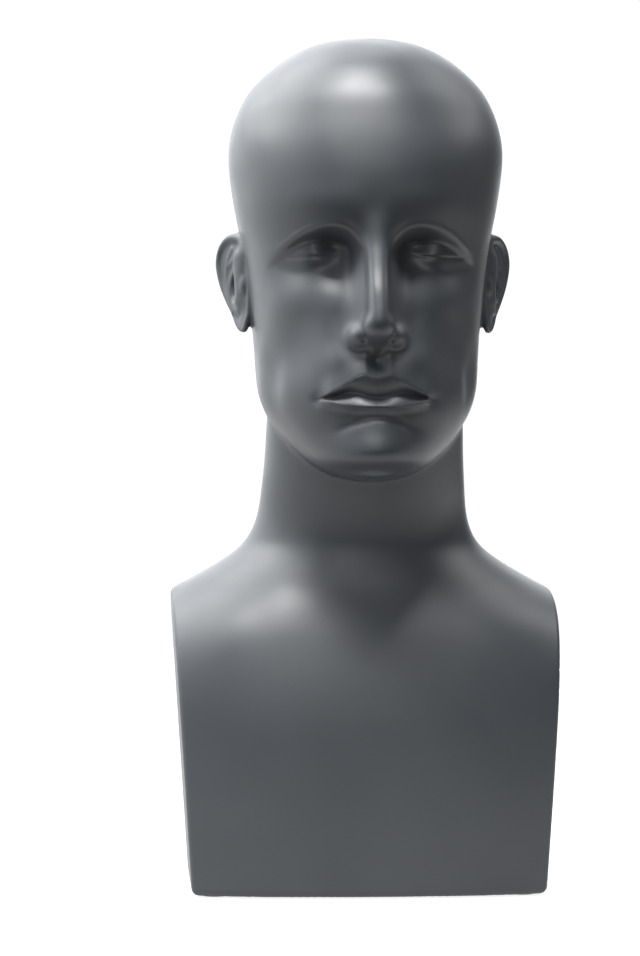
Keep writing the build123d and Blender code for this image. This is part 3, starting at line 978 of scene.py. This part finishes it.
def finish_cad_nodes():
    """Materials for the nodes that are shown as the CAD model has them."""
    along_x = softwood("softwood_along_x", (1, 9, 9))
    along_y = softwood("softwood_along_y", (9, 1, 9))
    resin, glass = putty(), laminate()
    looks = {
        "left_ear_bond": resin,
        "right_ear_bond": resin,
        "crown_seam_tape": glass,
        "left_seam_tape": glass,
        "right_seam_tape": glass,
        "front_cleat_tab": glass,
        "rear_cleat_tab": glass,
        "front_cleat": along_x,
        "rear_cleat": along_x,
        "left_cleat": along_y,
        "right_cleat": along_y,
        "base_panel": hardboard(),
        "panel_screws": zinc(),
        "rubber_feet": rubber(),
    }
    for name, material in looks.items():
        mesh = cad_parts[name].data
        mesh.materials.clear()
        mesh.materials.append(material)


# ---------------------------------------------------------------- studio, in metres

CAMERA_AZIMUTH = radians(-3.7)  # towards the head's right
CAMERA_DISTANCE = 2.0
CAMERA_HEIGHT = 0.2
FRAME_WIDTH = 0.3614  # what the picture spans at the bust's axis
# In frame widths: the bust stands right of the middle and reaches above the lens
FRAME_SHIFT = (-0.0656, 0.0813)

FLOOR_NEAR, FLOOR_FAR = -0.37, 4.0
FLOOR_LEFT, FLOOR_RIGHT = -3.0, 1.6
FLOOR_GREY = 0.16
FLOOR_GLOW = 0.85

# The room's light by bearing, in degrees: 0 is behind the bust, -90 on the picture's left, 90 on its right
ROOM_LEVELS = [
    (-180, 0.16),
    (-130, 0.25),
    (-95, 0.6),
    (-60, 0.68),
    (-25, 0.72),
    (-5, 1.0),
    (14, 1.0),
    (30, 0.04),
    (110, 0.03),
    (180, 0.16),
]
ROOM_TINT = (0.97, 1.0, 1.03)
ROOM_STRENGTH = 3.2
ROOM_BELOW = 0.05  # how much of that light is left below the horizon
HORIZON = (-0.12, 0.02)  # the heights that the light fades in between
BACKDROP_STRENGTH = 1.05

# Name, place, target, size and power of each lamp
LAMPS = [
    ("overhead", (-0.2, -0.5, 1.6), (-0.02, -0.08, 0.4), (0.9, 0.32), 45),
    ("upper_left", (-1.0, 0.45, 1.35), (0, 0, 0.3), (1.5, 1.1), 26),
    ("upper_right", (1.05, 0.4, 1.4), (0, 0, 0.15), (1.0, 1.0), 9),
    ("front_fill", (-0.35, -2.6, 1.25), (0, 0, 0.3), (1.4, 1.4), 14),
]


def add_camera():
    """Long-lens camera level with the foot of the neck, a little to the head's right of straight ahead."""
    camera = bpy.data.cameras.new("camera")
    camera.sensor_width = 36
    camera.sensor_fit = "HORIZONTAL"
    camera.lens = camera.sensor_width * CAMERA_DISTANCE / FRAME_WIDTH
    camera.shift_x, camera.shift_y = FRAME_SHIFT
    rig = bpy.data.objects.new("camera", camera)
    bpy.context.collection.objects.link(rig)
    sideways = CAMERA_DISTANCE * sin(CAMERA_AZIMUTH)
    forward = CAMERA_DISTANCE * cos(CAMERA_AZIMUTH)
    rig.location = (sideways, -forward, CAMERA_HEIGHT)
    rig.rotation_euler = (pi / 2, 0, CAMERA_AZIMUTH)
    bpy.context.scene.camera = rig


def area_light(name, place, target, size, power):
    """White rectangular lamp that faces the target and isn't seen itself."""
    light = bpy.data.lights.new(name, "AREA")
    light.shape, light.size, light.size_y = "RECTANGLE", *size
    light.energy = power
    lamp = bpy.data.objects.new(name, light)
    lamp.location = place
    lamp.visible_camera = False
    lamp.rotation_euler = (Vector(target) - Vector(place)).to_track_quat("-Z", "Y").to_euler()
    bpy.context.collection.objects.link(lamp)


def pale_floor():
    """White floor that glows faintly, like a light table. Its near edge is just outside the camera's view."""
    corners = [
        (FLOOR_LEFT, FLOOR_NEAR, 0),
        (FLOOR_RIGHT, FLOOR_NEAR, 0),
        (FLOOR_RIGHT, FLOOR_FAR, 0),
        (FLOOR_LEFT, FLOOR_FAR, 0),
    ]
    floor = mesh_object("floor", np.array(corners) / MM, [(0, 1, 2, 3)])
    material, _, _, shader = node_material("white_floor")
    shader.inputs["Base Color"].default_value = (FLOOR_GREY, FLOOR_GREY, FLOOR_GREY, 1)
    shader.inputs["Roughness"].default_value = 0.9
    shader.inputs["Emission Color"].default_value = (1, 1, 1, 1)
    shader.inputs["Emission Strength"].default_value = FLOOR_GLOW
    floor.data.materials.append(material)


def room_colour(nodes, links, direction):
    """The room's light from a direction: by its bearing, fading out below the horizon."""
    split = nodes.new("ShaderNodeSeparateXYZ")
    links.new(direction, split.inputs["Vector"])
    bearing = nodes.new("ShaderNodeMath")
    bearing.operation = "ARCTAN2"
    links.new(split.outputs["X"], bearing.inputs[0])
    links.new(split.outputs["Y"], bearing.inputs[1])
    turn = spread(nodes, links, bearing.outputs["Value"], 0.0, 1.0, -pi, pi)
    ramp = nodes.new("ShaderNodeValToRGB")
    ramp.color_ramp.interpolation = "EASE"
    while len(ramp.color_ramp.elements) < len(ROOM_LEVELS):
        ramp.color_ramp.elements.new(0.5)
    for element, (degrees, level) in zip(ramp.color_ramp.elements, ROOM_LEVELS):
        element.position = degrees / 360 + 0.5
        element.color = (*(level * tint for tint in ROOM_TINT), 1)
    links.new(turn, ramp.inputs["Fac"])
    above = spread(nodes, links, split.outputs["Z"], ROOM_BELOW, 1.0, *HORIZON)
    dim = nodes.new("ShaderNodeMix")
    dim.data_type = "RGBA"
    dim.inputs["A"].default_value = (0.0, 0.0, 0.0, 1)
    links.new(above, dim.inputs["Factor"])
    links.new(ramp.outputs["Color"], dim.inputs["B"])
    return dim.outputs["Result"]


def surroundings():
    """A white room, bright behind and on the picture's left. It looks plain white to the camera."""
    world = bpy.data.worlds.new("world")
    world.use_nodes = True
    nodes, links = world.node_tree.nodes, world.node_tree.links
    place = nodes.new("ShaderNodeTexCoord")
    room = nodes["Background"]
    room.inputs["Strength"].default_value = ROOM_STRENGTH
    links.new(room_colour(nodes, links, place.outputs["Generated"]), room.inputs["Color"])
    plain = nodes.new("ShaderNodeBackground")
    plain.inputs["Color"].default_value = (1, 1, 1, 1)
    plain.inputs["Strength"].default_value = BACKDROP_STRENGTH
    path = nodes.new("ShaderNodeLightPath")
    choose = nodes.new("ShaderNodeMixShader")
    links.new(path.outputs["Is Camera Ray"], choose.inputs["Fac"])
    links.new(room.outputs["Background"], choose.inputs[1])
    links.new(plain.outputs["Background"], choose.inputs[2])
    links.new(choose.outputs["Shader"], nodes["World Output"].inputs["Surface"])
    bpy.context.scene.world = world


def studio():
    """White floor and room, with one soft lamp overhead, two behind and a weak one in front."""
    pale_floor()
    surroundings()
    for lamp in LAMPS:
        area_light(*lamp)
    bpy.context.scene.view_settings.view_transform = "Standard"


add_camera()
painted = {**make_shells(), **make_ears()}
paint = lacquer()
for name, piece in painted.items():
    piece.data.materials.clear()
    piece.data.materials.append(paint)
    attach(piece, "root")
    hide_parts(name)
finish_cad_nodes()
studio()
